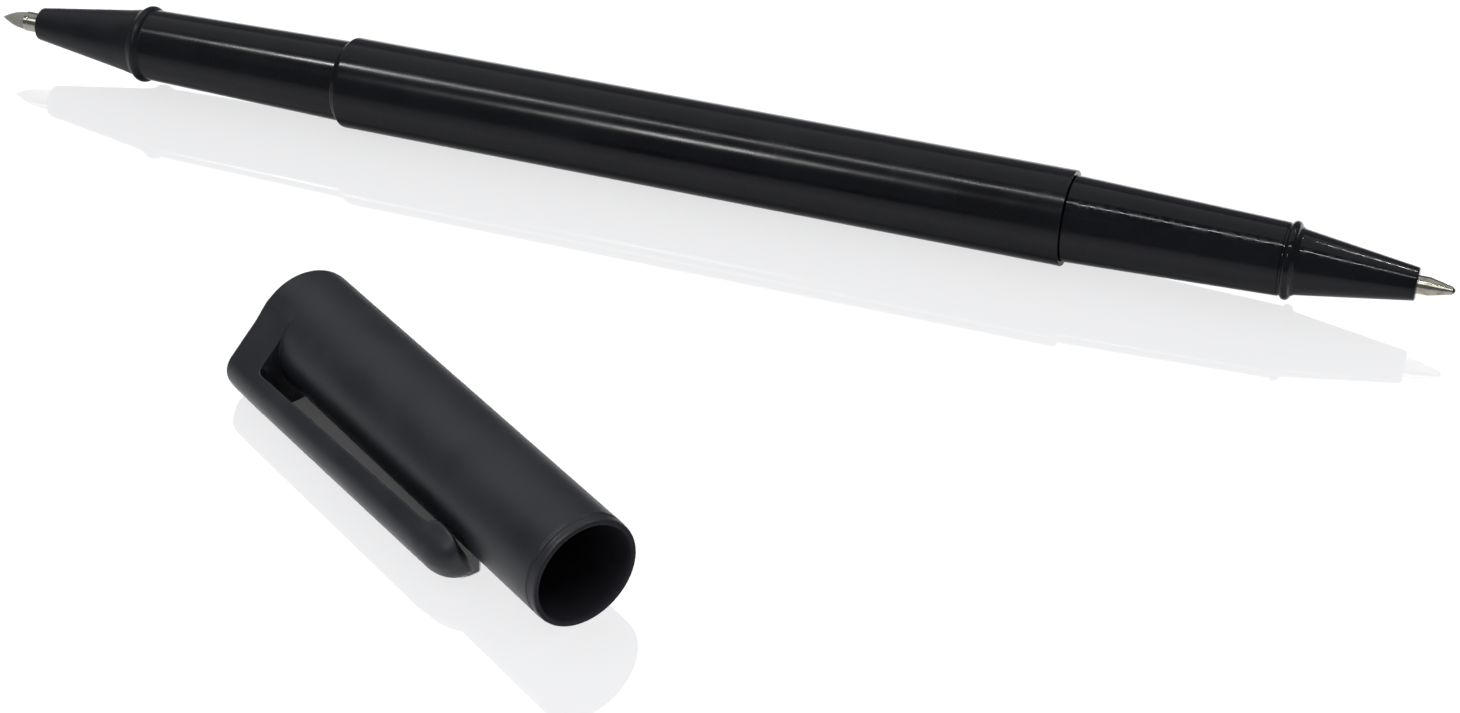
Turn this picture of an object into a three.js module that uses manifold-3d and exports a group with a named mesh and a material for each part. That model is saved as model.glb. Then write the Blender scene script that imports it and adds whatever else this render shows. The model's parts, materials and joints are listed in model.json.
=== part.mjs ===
// A double-ended counterfeit detector pen and its clip cap, in millimetres, +Z up.
// The pen lies on its barrel along X: the iodine fibre nib points to -X, the ballpoint to +X.
// The cap lies loose beside it on the same surface, on its tube and on the side of its clip.
import * as THREE from 'three';
import { mergeVertices } from 'three/addons/utils/BufferGeometryUtils.js';
import Module from 'manifold-3d';

const wasm = await Module();
wasm.setup();

// ---- driving dimensions ----------------------------------------------------------------
const SLEEVE_RADIUS = 5.25; // thick middle of the barrel, and the height of the pen's axis
const SLEEVE_LENGTH = 85.15;
const SLEEVE_END = SLEEVE_LENGTH / 2;

// Detector end. Stations are distances outward from the end of the sleeve.
const DETECTOR_GRIP = { length: 25.6, rear: 4.66, front: 4.14 };
const DETECTOR_BEAD = { at: 26.4, radius: 4.5, half: 0.62 };
const DETECTOR_CONE = { from: 29.2, to: 40.8, rear: 3.58, front: 1.88 };
const COLLAR = { radius: 1.16, from: 37.5, to: 42.8 };
const NIB = { radius: 1.02, tail: 14, tip: 46.1 };

// Ballpoint end. Stations are distances outward from the other end of the sleeve.
const BALLPOINT_GRIP = { length: 23.2, rear: 4.74, front: 3.97 };
const BALLPOINT_BEAD = { at: 23.97, radius: 4.25, half: 0.55 };
const BALLPOINT_CONE = { from: 24.95, to: 37.2, rear: 3.55, front: 1.76 };
const POINT = { tail: 28, step: 33.4, shank: 0.99, taper: 38.4 }; // turned metal point
const BALL = { radius: 0.35, at: 40.72 };

// Cap. Stations run from its flat crown (0) to its mouth.
const CAP_LENGTH = 50.64;
const CAP_RADIUS = 5.7;
const CAP_BORE = 5.03;
const CROWN_WALL = 1.2;
const WEB_LENGTH = 4.82; // solid bridge between the tube and the clip
const CLIP_NOSE = { at: 7.45, half: 0.33, radius: 2.48, side: 5.56 };
const CLIP_OUTER = { root: 9.93, tip: 9.52 };
const CLIP_INNER = { root: 7.68, tip: 6.97 };
const CLIP_LENGTH = 39.9;
const CLIP_PAD = { reach: 6.05, from: 4.9, full: 3.4, start: 1.7 }; // stations counted back from the tip
const CLIP_TIP = 3.6;
const CLIP_CUT = 0.3; // between the web and the clip, so that the clip can bend
const CAP_MOUTH = { x: 16.44, y: -73.5 }; // where the loose cap's mouth lies, from the sleeve's middle
const CAP_YAW = THREE.MathUtils.degToRad(-33.5);

// ---- fits ------------------------------------------------------------------------------
const FIT = 0.06; // between a spigot and its socket
const SEAM = 0.25; // open line where the ballpoint section meets the barrel
const FACE_GAP = 0.12; // between faces that butt together
const SNUG = 0.04; // around a thin stem in its hole
const BREAK = 0.1; // a broken edge
const SEGMENTS = 40;
const SMALL_SEGMENTS = 20;

// ---- materials -------------------------------------------------------------------------
const plastic = (color, roughness) => new THREE.MeshStandardMaterial({ color, roughness, metalness: 0 });
const metal = (color, roughness) => new THREE.MeshStandardMaterial({ color, roughness, metalness: 1 });
const glossBlack = () => plastic(0x17181d, 0.18);
const satinBlack = () => plastic(0x202226, 0.45);
const capBlack = () => plastic(0x26282b, 0.6);
const nickel = () => metal(0xc9c2b4, 0.25);
const fibre = () => plastic(0xb9b6ab, 0.9);

// ---- building helpers ------------------------------------------------------------------

const GRAIN = 1e5; // corners are kept to a hundred-thousandth of a millimetre

// One closed body with shared corners and no collapsed triangles.
function closed(geometry) {
  geometry.deleteAttribute('normal');
  geometry.deleteAttribute('uv');
  const places = geometry.attributes.position;
  for (let i = 0; i < places.array.length; i += 1) {
    places.array[i] = Math.round(places.array[i] * GRAIN) / GRAIN;
  }
  const merged = mergeVertices(geometry, 1e-4);
  const corners = merged.index.array;
  const kept = [];
  for (let i = 0; i < corners.length; i += 3) {
    const [a, b, c] = [corners[i], corners[i + 1], corners[i + 2]];
    if (a !== b && b !== c && c !== a) kept.push(a, b, c);
  }
  merged.setIndex(kept);
  return merged;
}

function toSolid(geometry) {
  const clean = closed(geometry);
  return new wasm.Manifold(new wasm.Mesh({
    numProp: 3,
    vertProperties: new Float32Array(clean.attributes.position.array),
    triVerts: new Uint32Array(clean.index.array),
  }));
}

function toGeometry(solid) {
  const mesh = solid.getMesh();
  const geometry = new THREE.BufferGeometry();
  geometry.setAttribute('position', new THREE.BufferAttribute(mesh.vertProperties, 3));
  geometry.setIndex(new THREE.BufferAttribute(mesh.triVerts, 1));
  return geometry;
}

// A body turned about the X axis from [station, radius] points. The outline is put in the
// order that makes its faces point outwards, and is closed unless it ends on the axis.
function turned(outline, segments = SEGMENTS) {
  const points = outline.map(([station, radius]) => new THREE.Vector2(radius, station));
  const onAxis = points[0].x === 0 && points.at(-1).x === 0;
  if (!onAxis) points.push(points[0].clone());
  if (THREE.ShapeUtils.area(points) < 0) points.reverse();
  return new THREE.LatheGeometry(points, segments).rotateZ(-Math.PI / 2);
}

// Points of an arc in the [station, radius] plane, from one angle to another in degrees.
function arc(station, radius, size, from, to, steps, stretch = 1) {
  return Array.from({ length: steps + 1 }, (_, i) => {
    const angle = THREE.MathUtils.degToRad(from + ((to - from) * i) / steps);
    return [station + stretch * size * Math.cos(angle), radius + size * Math.sin(angle)];
  });
}

function piece(name, geometry, material) {
  const mesh = new THREE.Mesh(closed(geometry), material);
  mesh.name = name;
  return mesh;
}

// ---- barrel ----------------------------------------------------------------------------

const WET_BORE = 3.3; // under the detector grip
const MIDDLE_BORE = 3.9;
const BORE_STEP = 2; // length of the taper between the two bores
const SOCKET = { radius: 4.2, depth: 12 }; // takes the ballpoint section's spigot
const SHOULDER = SLEEVE_RADIUS - DETECTOR_GRIP.rear;

// Sleeve and detector grip are one moulding, with a rounded shoulder between them.
function barrel() {
  const front = -SLEEVE_END - DETECTOR_GRIP.length;
  return piece('barrel', turned([
    [front, DETECTOR_GRIP.front],
    ...arc(-SLEEVE_END, DETECTOR_GRIP.rear, SHOULDER, 180, 90, 4),
    [SLEEVE_END, SLEEVE_RADIUS],
    [SLEEVE_END, SOCKET.radius],
    [SLEEVE_END - SOCKET.depth, SOCKET.radius],
    [SLEEVE_END - SOCKET.depth, MIDDLE_BORE],
    [-SLEEVE_END + BORE_STEP, MIDDLE_BORE],
    [-SLEEVE_END, WET_BORE],
    [front, WET_BORE],
  ]), glossBlack());
}

// ---- detector end ----------------------------------------------------------------------

const NOSE_SPIGOT = 7;
const NOSE_CHAMBER = { rear: 2.4, front: 2.2, to: 33, throat: 35 };
const BEAD_FOOT = { ahead: 0.5, over: 0.22 }; // where the bead runs out onto the cone

function detectorNose() {
  const { at, radius, half } = DETECTOR_BEAD;
  const rear = DETECTOR_GRIP.length + FACE_GAP;
  const spigot = WET_BORE - FIT;
  const bore = COLLAR.radius + FIT;
  return piece('detector_nose', turned([
    [DETECTOR_GRIP.length - NOSE_SPIGOT, spigot],
    [rear, spigot],
    [rear, DETECTOR_GRIP.front],
    ...arc(at, radius - half, half, 150, 30, 6),
    [at + half + BEAD_FOOT.ahead, DETECTOR_CONE.rear + BEAD_FOOT.over],
    [DETECTOR_CONE.from, DETECTOR_CONE.rear],
    [DETECTOR_CONE.to - BREAK, DETECTOR_CONE.front],
    [DETECTOR_CONE.to, DETECTOR_CONE.front - BREAK],
    [DETECTOR_CONE.to, bore],
    [NOSE_CHAMBER.throat, bore],
    [NOSE_CHAMBER.to, NOSE_CHAMBER.front],
    [DETECTOR_GRIP.length - NOSE_SPIGOT, NOSE_CHAMBER.rear],
  ]), satinBlack());
}

function nibCollar() {
  const inner = NIB.radius + SNUG;
  return piece('nib_collar', turned([
    [COLLAR.from, COLLAR.radius],
    [COLLAR.to - BREAK, COLLAR.radius],
    [COLLAR.to, (COLLAR.radius + inner) / 2],
    [COLLAR.to, inner],
    [COLLAR.from, inner],
  ], SMALL_SEGMENTS), nickel());
}

// A fibre rod with a bullet point, a parabola; its tail drinks from the reservoir.
function detectorNib() {
  const steps = 7;
  const bullet = Array.from({ length: steps + 1 }, (_, i) => {
    const share = i / steps;
    return [COLLAR.to + share * (NIB.tip - COLLAR.to), NIB.radius * (1 - share ** 2)];
  });
  return piece('detector_nib', turned([
    [NIB.tail, 0],
    [NIB.tail, NIB.radius],
    ...bullet,
  ], SMALL_SEGMENTS), fibre());
}

const RESERVOIR = { radius: 3.0, from: -36.5, to: 18.3, film: 0.14, slack: 0.03 };

function inkReservoir() {
  const hole = NIB.radius + SNUG;
  return piece('ink_reservoir', turned([
    [RESERVOIR.from, 0],
    [RESERVOIR.from, RESERVOIR.radius],
    [RESERVOIR.to, RESERVOIR.radius],
    [RESERVOIR.to, hole],
    [NIB.tail - FACE_GAP, hole],
    [NIB.tail - FACE_GAP, 0],
  ], SMALL_SEGMENTS), plastic(0xc98b3a, 0.9));
}

function reservoirFilm() {
  const inner = RESERVOIR.radius + RESERVOIR.slack;
  return piece('reservoir_film', turned([
    [RESERVOIR.from, inner],
    [RESERVOIR.from, inner + RESERVOIR.film],
    [RESERVOIR.to, inner + RESERVOIR.film],
    [RESERVOIR.to, inner],
  ], SMALL_SEGMENTS), plastic(0xdfe0e0, 0.3));
}

const DIVIDER = { length: 6, wall: 1, lead: 0.35, behind: 0.3 };

// Closes the wet half of the barrel off from the ballpoint half. A cup, open to the ballpoint.
function dividingPlug() {
  const { length, wall, lead, behind } = DIVIDER;
  const from = -SLEEVE_END - RESERVOIR.from + behind;
  const outer = MIDDLE_BORE - FIT;
  return piece('dividing_plug', turned([
    [from, 0],
    [from, outer - lead],
    [from + lead, outer],
    [from + length, outer],
    [from + length, outer - wall],
    [from + 2 * wall, outer - wall],
    [from + 2 * wall, 0],
  ], SMALL_SEGMENTS), plastic(0xe4e4e0, 0.5));
}

// ---- ballpoint end ---------------------------------------------------------------------

const SECTION_SPIGOT = { length: 11, lead: 0.3 };
const SECTION_BORE = 3.05;
const CONE_SPIGOT = 6;
const CONE_THROAT = { from: 32, to: 33.2 };
const REFILL = { radius: 1.55, bore: 1.05, from: -39.5, to: 25.9, clearance: 0.2 };
const HOLDER = { from: 22, flange: 26.05, to: 31.5, radius: 1.5, bore: 0.84, feed: 0.35 };

function ballpointSection() {
  const spigot = SOCKET.radius - FIT;
  return piece('ballpoint_section', turned([
    [-SECTION_SPIGOT.length, spigot - SECTION_SPIGOT.lead],
    [-SECTION_SPIGOT.length + 2 * SECTION_SPIGOT.lead, spigot],
    [SEAM, spigot],
    [SEAM, BALLPOINT_GRIP.rear - BREAK],
    [SEAM + BREAK, BALLPOINT_GRIP.rear],
    [BALLPOINT_GRIP.length, BALLPOINT_GRIP.front],
    [BALLPOINT_GRIP.length, SECTION_BORE],
    [-SECTION_SPIGOT.length, SECTION_BORE],
  ]), glossBlack());
}

function ballpointNose() {
  const { at, radius, half } = BALLPOINT_BEAD;
  const rear = BALLPOINT_GRIP.length + FACE_GAP;
  const spigot = SECTION_BORE - FIT;
  const tail = BALLPOINT_GRIP.length - CONE_SPIGOT;
  const seat = POINT.shank + FIT;
  const chamber = REFILL.radius + REFILL.clearance;
  return piece('ballpoint_nose', turned([
    [tail, spigot],
    [rear, spigot],
    [rear, BALLPOINT_GRIP.front],
    ...arc(at, radius - half, half, 150, 20, 6),
    [BALLPOINT_CONE.from, BALLPOINT_CONE.rear],
    [BALLPOINT_CONE.to - BREAK, BALLPOINT_CONE.front],
    [BALLPOINT_CONE.to, BALLPOINT_CONE.front - BREAK],
    [BALLPOINT_CONE.to, seat],
    [CONE_THROAT.to, seat],
    [CONE_THROAT.from, chamber],
    [tail, chamber],
  ]), glossBlack());
}

const BALL_SEAT = { slack: 0.05, wall: 0.08, lip: 0.1, depth: 0.5, feed: 0.2 };

// Turned nickel-silver point: a stem, a shank, a cone and the cup that holds the ball.
function ballpointTip() {
  const cup = BALL.radius + BALL_SEAT.slack;
  const lip = BALL.at + BALL_SEAT.lip;
  const floor = BALL.at - BALL_SEAT.depth;
  const stem = HOLDER.bore - SNUG;
  return piece('ballpoint_tip', turned([
    [POINT.tail, stem],
    [POINT.step, stem],
    [POINT.step, POINT.shank],
    [POINT.taper, POINT.shank],
    [lip, cup + BALL_SEAT.wall / 2],
    [lip, cup - BALL_SEAT.slack / 2],
    [BALL.at, cup],
    [floor, cup],
    [floor, BALL_SEAT.feed],
    [POINT.tail, BALL_SEAT.feed],
  ], SMALL_SEGMENTS), nickel());
}

function writingBall() {
  const ball = new THREE.SphereGeometry(BALL.radius, 16, 10);
  return piece('writing_ball', ball.translate(BALL.at, 0, 0), metal(0x55565a, 0.15));
}

// Joins the metal point to the refill tube.
function tipHolder() {
  return piece('tip_holder', turned([
    [HOLDER.from, REFILL.bore - SNUG],
    [HOLDER.flange, REFILL.bore - SNUG],
    [HOLDER.flange, HOLDER.radius],
    [HOLDER.to, HOLDER.radius],
    [HOLDER.to, HOLDER.bore],
    [POINT.tail - FACE_GAP, HOLDER.bore],
    [POINT.tail - FACE_GAP, HOLDER.feed],
    [HOLDER.from, HOLDER.feed],
  ], SMALL_SEGMENTS), plastic(0xe9e7df, 0.4));
}

function refillTube() {
  return piece('refill_tube', turned([
    [REFILL.from, REFILL.bore],
    [REFILL.from, REFILL.radius],
    [REFILL.to, REFILL.radius],
    [REFILL.to, REFILL.bore],
  ], SMALL_SEGMENTS), plastic(0xe6ebee, 0.25));
}

const INK = { radius: 1.0, from: -20, to: 21.8 };
const GREASE_LENGTH = 4;

function inkColumn() {
  const ink = roundBar(INK.radius, INK.from, INK.to, SMALL_SEGMENTS);
  return piece('ink_column', ink, plastic(0x0b0d1c, 0.3));
}

function greaseFollower() {
  const to = INK.from - FACE_GAP;
  const slug = roundBar(INK.radius, to - GREASE_LENGTH, to, SMALL_SEGMENTS);
  return piece('grease_follower', slug, plastic(0xd9c88f, 0.3));
}

const STOPPER = { head: 1, spigot: 3, vent: 0.35 };

// Push-in stopper of the refill, with a vent hole so that the ink can run down.
function refillTailPlug() {
  const spigot = REFILL.bore - SNUG;
  return piece('refill_tail_plug', turned([
    [REFILL.from - STOPPER.head, STOPPER.vent],
    [REFILL.from - STOPPER.head, REFILL.radius - BREAK],
    [REFILL.from - FACE_GAP, REFILL.radius - BREAK],
    [REFILL.from - FACE_GAP, spigot],
    [REFILL.from + STOPPER.spigot, spigot],
    [REFILL.from + STOPPER.spigot, STOPPER.vent],
  ], SMALL_SEGMENTS), plastic(0xf0f0ec, 0.5));
}

// ---- cap -------------------------------------------------------------------------------
// In the cap's own frame X runs from the crown to the mouth, and the clip is on the -Y side.

const NOSE_SPREAD = Math.hypot(CLIP_NOSE.at, CLIP_NOSE.half);
// Half the angle at which the two flat sides of the section close towards the clip.
const SIDE_TAPER = Math.asin((CLIP_NOSE.side - CLIP_NOSE.radius) / NOSE_SPREAD)
  - Math.atan2(CLIP_NOSE.half, CLIP_NOSE.at);

// Everything of the teardrop section but its tube: flat converging sides that start just
// inside the tube's wall, and a full round nose.
function clipSection() {
  const { at, half, radius, side } = CLIP_NOSE;
  const turn = Math.PI / 2 - SIDE_TAPER;
  const foot = { x: side * Math.sin(turn), y: -side * Math.cos(turn) };
  const shape = new THREE.Shape();
  shape.moveTo(-foot.x, foot.y);
  shape.absarc(-half, -at, radius, -Math.PI / 2 - turn, -Math.PI / 2, false);
  shape.absarc(half, -at, radius, -Math.PI / 2, -Math.PI / 2 + turn, false);
  shape.lineTo(foot.x, foot.y);
  shape.closePath();
  return shape;
}

// A section drawn in the YZ plane, extruded along +X.
function alongX(shape, from, to) {
  const settings = { depth: to - from, bevelEnabled: false, curveSegments: 8 };
  return new THREE.ExtrudeGeometry(shape, settings).rotateY(Math.PI / 2).translate(from, 0, 0);
}

function roundBar(radius, from, to, segments = SEGMENTS) {
  const bar = new THREE.CylinderGeometry(radius, radius, to - from, segments);
  return bar.rotateZ(-Math.PI / 2).translate((from + to) / 2, 0, 0);
}

const SEAL = { outer: CAP_BORE - 0.1, length: 17, wall: 0.9, mouth: 2, rim: 0.5 };

function capShell() {
  const tube = toSolid(roundBar(CAP_RADIUS, 0, CAP_LENGTH));
  const web = toSolid(alongX(clipSection(), 0, WEB_LENGTH));
  const bore = toSolid(roundBar(CAP_BORE, CROWN_WALL, CAP_LENGTH + 1));
  return piece('cap_shell', toGeometry(tube.add(web).subtract(bore)), capBlack());
}

// The clip's side view: a bar that leans a little towards the tube, a rounded tip and a pad
// inside the tip that presses on the tube.
function clipSide() {
  const root = WEB_LENGTH + CLIP_CUT;
  const middle = (CLIP_OUTER.tip + CLIP_PAD.reach) / 2;
  const side = new THREE.Shape();
  side.moveTo(root, -CLIP_INNER.root);
  side.lineTo(root, -CLIP_OUTER.root);
  side.lineTo(CLIP_LENGTH - CLIP_TIP, -CLIP_OUTER.tip);
  side.quadraticCurveTo(CLIP_LENGTH - BREAK, -CLIP_OUTER.tip, CLIP_LENGTH, -middle);
  side.quadraticCurveTo(CLIP_LENGTH - BREAK, -CLIP_PAD.reach, CLIP_LENGTH - CLIP_PAD.start, -CLIP_PAD.reach);
  side.lineTo(CLIP_LENGTH - CLIP_PAD.full, -CLIP_PAD.reach);
  side.lineTo(CLIP_LENGTH - CLIP_PAD.from, -CLIP_INNER.tip);
  side.closePath();
  return side;
}

function capClip() {
  const settings = { depth: 2 * CAP_RADIUS, bevelEnabled: false, curveSegments: 5 };
  const side = new THREE.ExtrudeGeometry(clipSide(), settings).translate(0, 0, -CAP_RADIUS);
  const section = alongX(clipSection(), 0, CLIP_LENGTH + 1);
  return piece('cap_clip', toGeometry(toSolid(side).intersect(toSolid(section))), capBlack());
}

// Soft cup in the crown that seals against the cone behind the nib.
function capInnerSeal() {
  const from = CROWN_WALL + FACE_GAP;
  return piece('cap_inner_seal', turned([
    [from, 0],
    [from, SEAL.outer],
    [from + SEAL.length, SEAL.outer],
    [from + SEAL.length, SEAL.outer - SEAL.rim],
    [from + SEAL.length - SEAL.mouth, SEAL.outer - SEAL.wall],
    [from + SEAL.wall, SEAL.outer - SEAL.wall],
    [from + SEAL.wall, 0],
  ], SEGMENTS), plastic(0x8d9096, 0.5));
}

// ---- assembly --------------------------------------------------------------------------

// Pieces of one end, drawn outward from the sleeve and turned to face -X where asked.
function end(direction, ...pieces) {
  const group = new THREE.Group();
  group.add(...pieces);
  group.position.x = direction * SLEEVE_END;
  if (direction < 0) group.rotation.z = Math.PI;
  return group;
}

function pen() {
  const group = new THREE.Group();
  group.add(
    barrel(),
    dividingPlug(),
    end(-1, detectorNose(), nibCollar(), detectorNib(), inkReservoir(), reservoirFilm()),
    end(1, ballpointSection(), ballpointNose(), ballpointTip(), writingBall(), tipHolder(),
      refillTube(), inkColumn(), greaseFollower(), refillTailPlug()),
  );
  group.position.z = SLEEVE_RADIUS;
  return group;
}

// The roll that lays the clip's nose on the surface beside the tube.
function restingRoll() {
  const bias = Math.atan2(CLIP_NOSE.half, CLIP_NOSE.at);
  return Math.asin((CAP_RADIUS - CLIP_NOSE.radius) / NOSE_SPREAD) - bias;
}

function cap() {
  const rolled = new THREE.Group();
  rolled.add(capShell(), capClip(), capInnerSeal());
  rolled.rotation.x = restingRoll();
  rolled.position.x = -CAP_LENGTH;
  const yawed = new THREE.Group();
  yawed.add(rolled);
  yawed.rotation.z = CAP_YAW;
  yawed.position.set(CAP_MOUTH.x, CAP_MOUTH.y, CAP_RADIUS);
  return yawed;
}

// The origin is under the middle of the whole set, on the surface it lies on.
const model = new THREE.Group();
model.add(pen(), cap());
model.updateMatrixWorld(true);
const bounds = new THREE.Box3().setFromObject(model, true);
const middle = bounds.getCenter(new THREE.Vector3());
model.position.set(-middle.x, -middle.y, -bounds.min.z);

export default model;
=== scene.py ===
# %% [markdown]
# # A double-ended detector pen and its clip cap
# The pen is a small moulded tool for checking banknotes. A fibre nib at one end leaves a mark of
# iodine fluid, and an ordinary ballpoint is at the other end. A cap with a clip lies beside it.
# Nearly every piece is round about the pen's long axis, so one Geometry Nodes tree turns them all.
# The cap's shell and its clip are the two pieces that aren't round, and they are lofted.

# %% Load the frame
import json
import math
import bmesh
import bpy
import numpy as np
from mathutils import Matrix, Vector


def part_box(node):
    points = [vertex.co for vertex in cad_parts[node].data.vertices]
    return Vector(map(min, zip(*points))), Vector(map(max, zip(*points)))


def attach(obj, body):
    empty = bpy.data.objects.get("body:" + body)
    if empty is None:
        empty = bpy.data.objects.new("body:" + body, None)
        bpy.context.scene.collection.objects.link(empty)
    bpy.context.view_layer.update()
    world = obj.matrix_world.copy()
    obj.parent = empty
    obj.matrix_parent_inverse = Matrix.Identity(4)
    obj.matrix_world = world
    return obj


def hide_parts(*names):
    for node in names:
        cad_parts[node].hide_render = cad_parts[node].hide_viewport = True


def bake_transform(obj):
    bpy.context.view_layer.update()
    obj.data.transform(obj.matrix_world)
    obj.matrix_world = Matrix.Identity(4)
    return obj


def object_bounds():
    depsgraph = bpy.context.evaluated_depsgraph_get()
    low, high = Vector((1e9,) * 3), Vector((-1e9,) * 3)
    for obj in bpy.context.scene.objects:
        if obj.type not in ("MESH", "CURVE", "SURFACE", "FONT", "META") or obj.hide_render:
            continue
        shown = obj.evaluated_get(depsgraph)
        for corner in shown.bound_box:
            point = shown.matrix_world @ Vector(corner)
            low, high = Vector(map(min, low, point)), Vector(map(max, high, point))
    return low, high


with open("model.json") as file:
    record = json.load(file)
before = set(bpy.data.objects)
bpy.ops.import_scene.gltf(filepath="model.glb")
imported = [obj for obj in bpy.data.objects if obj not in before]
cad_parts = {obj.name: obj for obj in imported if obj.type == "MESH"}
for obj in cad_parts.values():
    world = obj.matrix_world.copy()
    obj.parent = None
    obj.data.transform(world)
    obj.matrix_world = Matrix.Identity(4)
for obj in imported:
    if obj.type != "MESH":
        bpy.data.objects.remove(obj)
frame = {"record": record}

CAD_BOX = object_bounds()
MM = 0.001
print("CAD box in mm:", [tuple(round(c / MM, 2) for c in corner) for corner in CAD_BOX])

# %% [markdown]
# ## Where things are
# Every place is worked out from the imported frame. The pen's axis is the middle of the barrel's box.
# The sleeve ends where the ballpoint section begins, and stations are counted outward from the two
# ends of the sleeve, as on a turner's drawing. The cap lies rolled and turned on the table, so it
# has a frame of its own: x from its crown to its mouth, and the clip on its -y side.

# %% Read the two ends of the sleeve and the cap's own frame
SLEEVE_LENGTH = 85.15 * MM
barrel_low, barrel_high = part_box("barrel")
AXIS_Y = (barrel_low.y + barrel_high.y) / 2
AXIS_Z = (barrel_low.z + barrel_high.z) / 2
SLEEVE_RADIUS = (barrel_high.z - barrel_low.z) / 2 / MM
BALLPOINT_END = barrel_high.x
DETECTOR_END = BALLPOINT_END - SLEEVE_LENGTH

record = frame["record"]
joints = {joint["name"]: joint for joint in record["behaviour"]["joints"]}
crown = next(mount for mount in record["mounts"] if mount["name"] == "cap_crown")
cap_x = Vector(joints["cap_push"]["axis"]).normalized()
cap_z = -Vector(joints["clip_flex"]["axis"]).normalized()
cap_y = cap_z.cross(cap_x).normalized()
CAP_FRAME = Matrix((cap_x, cap_y, cap_z)).transposed().to_4x4()
CAP_FRAME.translation = Vector(crown["pos_m"])
print("pen axis (mm):", round(AXIS_Y / MM, 3), round(AXIS_Z / MM, 3))
print("sleeve radius (mm):", round(SLEEVE_RADIUS, 3))

# %% [markdown]
# ## Camera, table and light
# The camera stands a little to the right and looks down at the pen from about a third of the way
# up. The table is a plain white sheet with a polish, so that it carries a faint mirror image.
# A black glossy tube shows only what it mirrors. So the lights are chosen for their mirror images:
# a long narrow strip almost overhead draws the thin bright line along the pen, a wide soft panel
# behind it greys the top, and the dim room in front leaves the dark band under the line.

# %% Camera
CAMERA = {"azimuth": 19.86, "elevation": 35.46, "distance": 305.36 * MM, "lens": 72.81, "sensor": 36.0}
AIM_FROM_SLEEVE_END = (-28.13 * MM, -29.52 * MM)
target = Vector((BALLPOINT_END + AIM_FROM_SLEEVE_END[0], AXIS_Y + AIM_FROM_SLEEVE_END[1], CAD_BOX[0].z))


def direction(azimuth, elevation):
    """A unit vector that points from the object towards a place in the studio."""
    turn, rise = math.radians(azimuth), math.radians(elevation)
    flat = math.cos(rise)
    return Vector((math.sin(turn) * flat, -math.cos(turn) * flat, math.sin(rise)))


back = direction(CAMERA["azimuth"], CAMERA["elevation"])
camera_data = bpy.data.cameras.new("camera")
camera_data.lens = CAMERA["lens"]
camera_data.sensor_width = CAMERA["sensor"]
camera_data.clip_start = 0.01
camera_data.clip_end = 20
camera = bpy.data.objects.new("camera", camera_data)
bpy.context.scene.collection.objects.link(camera)
camera.location = target + back * CAMERA["distance"]
camera.rotation_mode = "QUATERNION"
camera.rotation_quaternion = (-back).to_track_quat("-Z", "Y")
bpy.context.scene.camera = camera
bpy.context.scene.view_settings.view_transform = "Standard"
print("camera at (mm):", [round(c / MM, 1) for c in camera.location])


# %% Helpers for node trees
def add(tree, kind, settings=None, **inputs):
    """Adds a node. Inputs are set by name, with _ for a space, or by place, as i0 or i1. Each
    value is a constant or another socket."""
    node = tree.nodes.new(kind)
    for key, value in (settings or {}).items():
        setattr(node, key, value)
    for key, value in inputs.items():
        by_place = key[0] == "i" and key[1:].isdigit()
        socket = node.inputs[int(key[1:]) if by_place else key.replace("_", " ")]
        if isinstance(value, bpy.types.NodeSocket):
            tree.links.new(value, socket)
        else:
            socket.default_value = value
    return node


def surface(name, **constants):
    """A material with one Principled shader, and the constants set on the shader's own sockets."""
    material = bpy.data.materials.new(name)
    material.use_nodes = True
    tree = material.node_tree
    tree.nodes.clear()
    shader = add(tree, "ShaderNodeBsdfPrincipled", **constants)
    output = add(tree, "ShaderNodeOutputMaterial")
    tree.links.new(shader.outputs["BSDF"], output.inputs["Surface"])
    return material, tree, shader


# %% Table
TABLE_SIZE = 6.0
TABLE_DROP = 0.07 * MM  # clears the lowest point of the cap's skin
table_top = CAD_BOX[0].z - TABLE_DROP
bpy.ops.mesh.primitive_plane_add(size=TABLE_SIZE, location=(target.x, target.y, table_top))
table = bpy.context.object
table.name = "table"
polish, tree, shader = surface("polished_white_table", Base_Color=(0.86, 0.86, 0.865, 1), IOR=2.2)
haze = add(tree, "ShaderNodeTexNoise", Scale=9.0, Detail=3.0)
rough = add(tree, "ShaderNodeMapRange", Value=haze.outputs["Fac"], To_Min=0.02, To_Max=0.04)
tree.links.new(rough.outputs["Result"], shader.inputs["Roughness"])
table.data.materials.append(polish)

# %% [markdown]
# The table and the pen are lit apart, with light linking. An even sun from the front whitens the
# table, and only the clip casts its shadow there, which darkens the slot beside it. A white card
# beyond the table is there just for the polish to mirror. The pen gets the strip and the panels,
# and one more card is there for the two bright metal pieces.

# %% Lights
only_table = bpy.data.collections.new("lit_with_the_table")
only_table.objects.link(table)
only_metal = bpy.data.collections.new("bright_metal")
all_but_table = bpy.data.collections.new("lit_apart_from_the_table")
all_but_table.objects.link(table)
all_but_table.collection_objects[0].light_linking.link_state = "EXCLUDE"


def panel(name, rise, reach, along, width, depth, radiance, receivers):
    """A flat soft light along the pen. rise is its angle up from the near side; past 90 is behind.
    Its power follows from its brightness and its area."""
    light = bpy.data.lights.new(name, "AREA")
    light.shape = "RECTANGLE"
    light.size, light.size_y = width, depth
    light.energy = radiance * math.pi * width * depth
    lamp = bpy.data.objects.new(name, light)
    bpy.context.scene.collection.objects.link(lamp)
    angle = math.radians(rise)
    outward = Vector((0, -math.cos(angle), math.sin(angle)))
    sideways = Vector((1, 0, 0))
    lamp.matrix_world = Matrix((sideways, outward.cross(sideways), outward)).transposed().to_4x4()
    lamp.location = target + outward * reach + sideways * along
    lamp.visible_camera = False
    lamp.light_linking.receiver_collection = receivers
    return lamp


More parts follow.
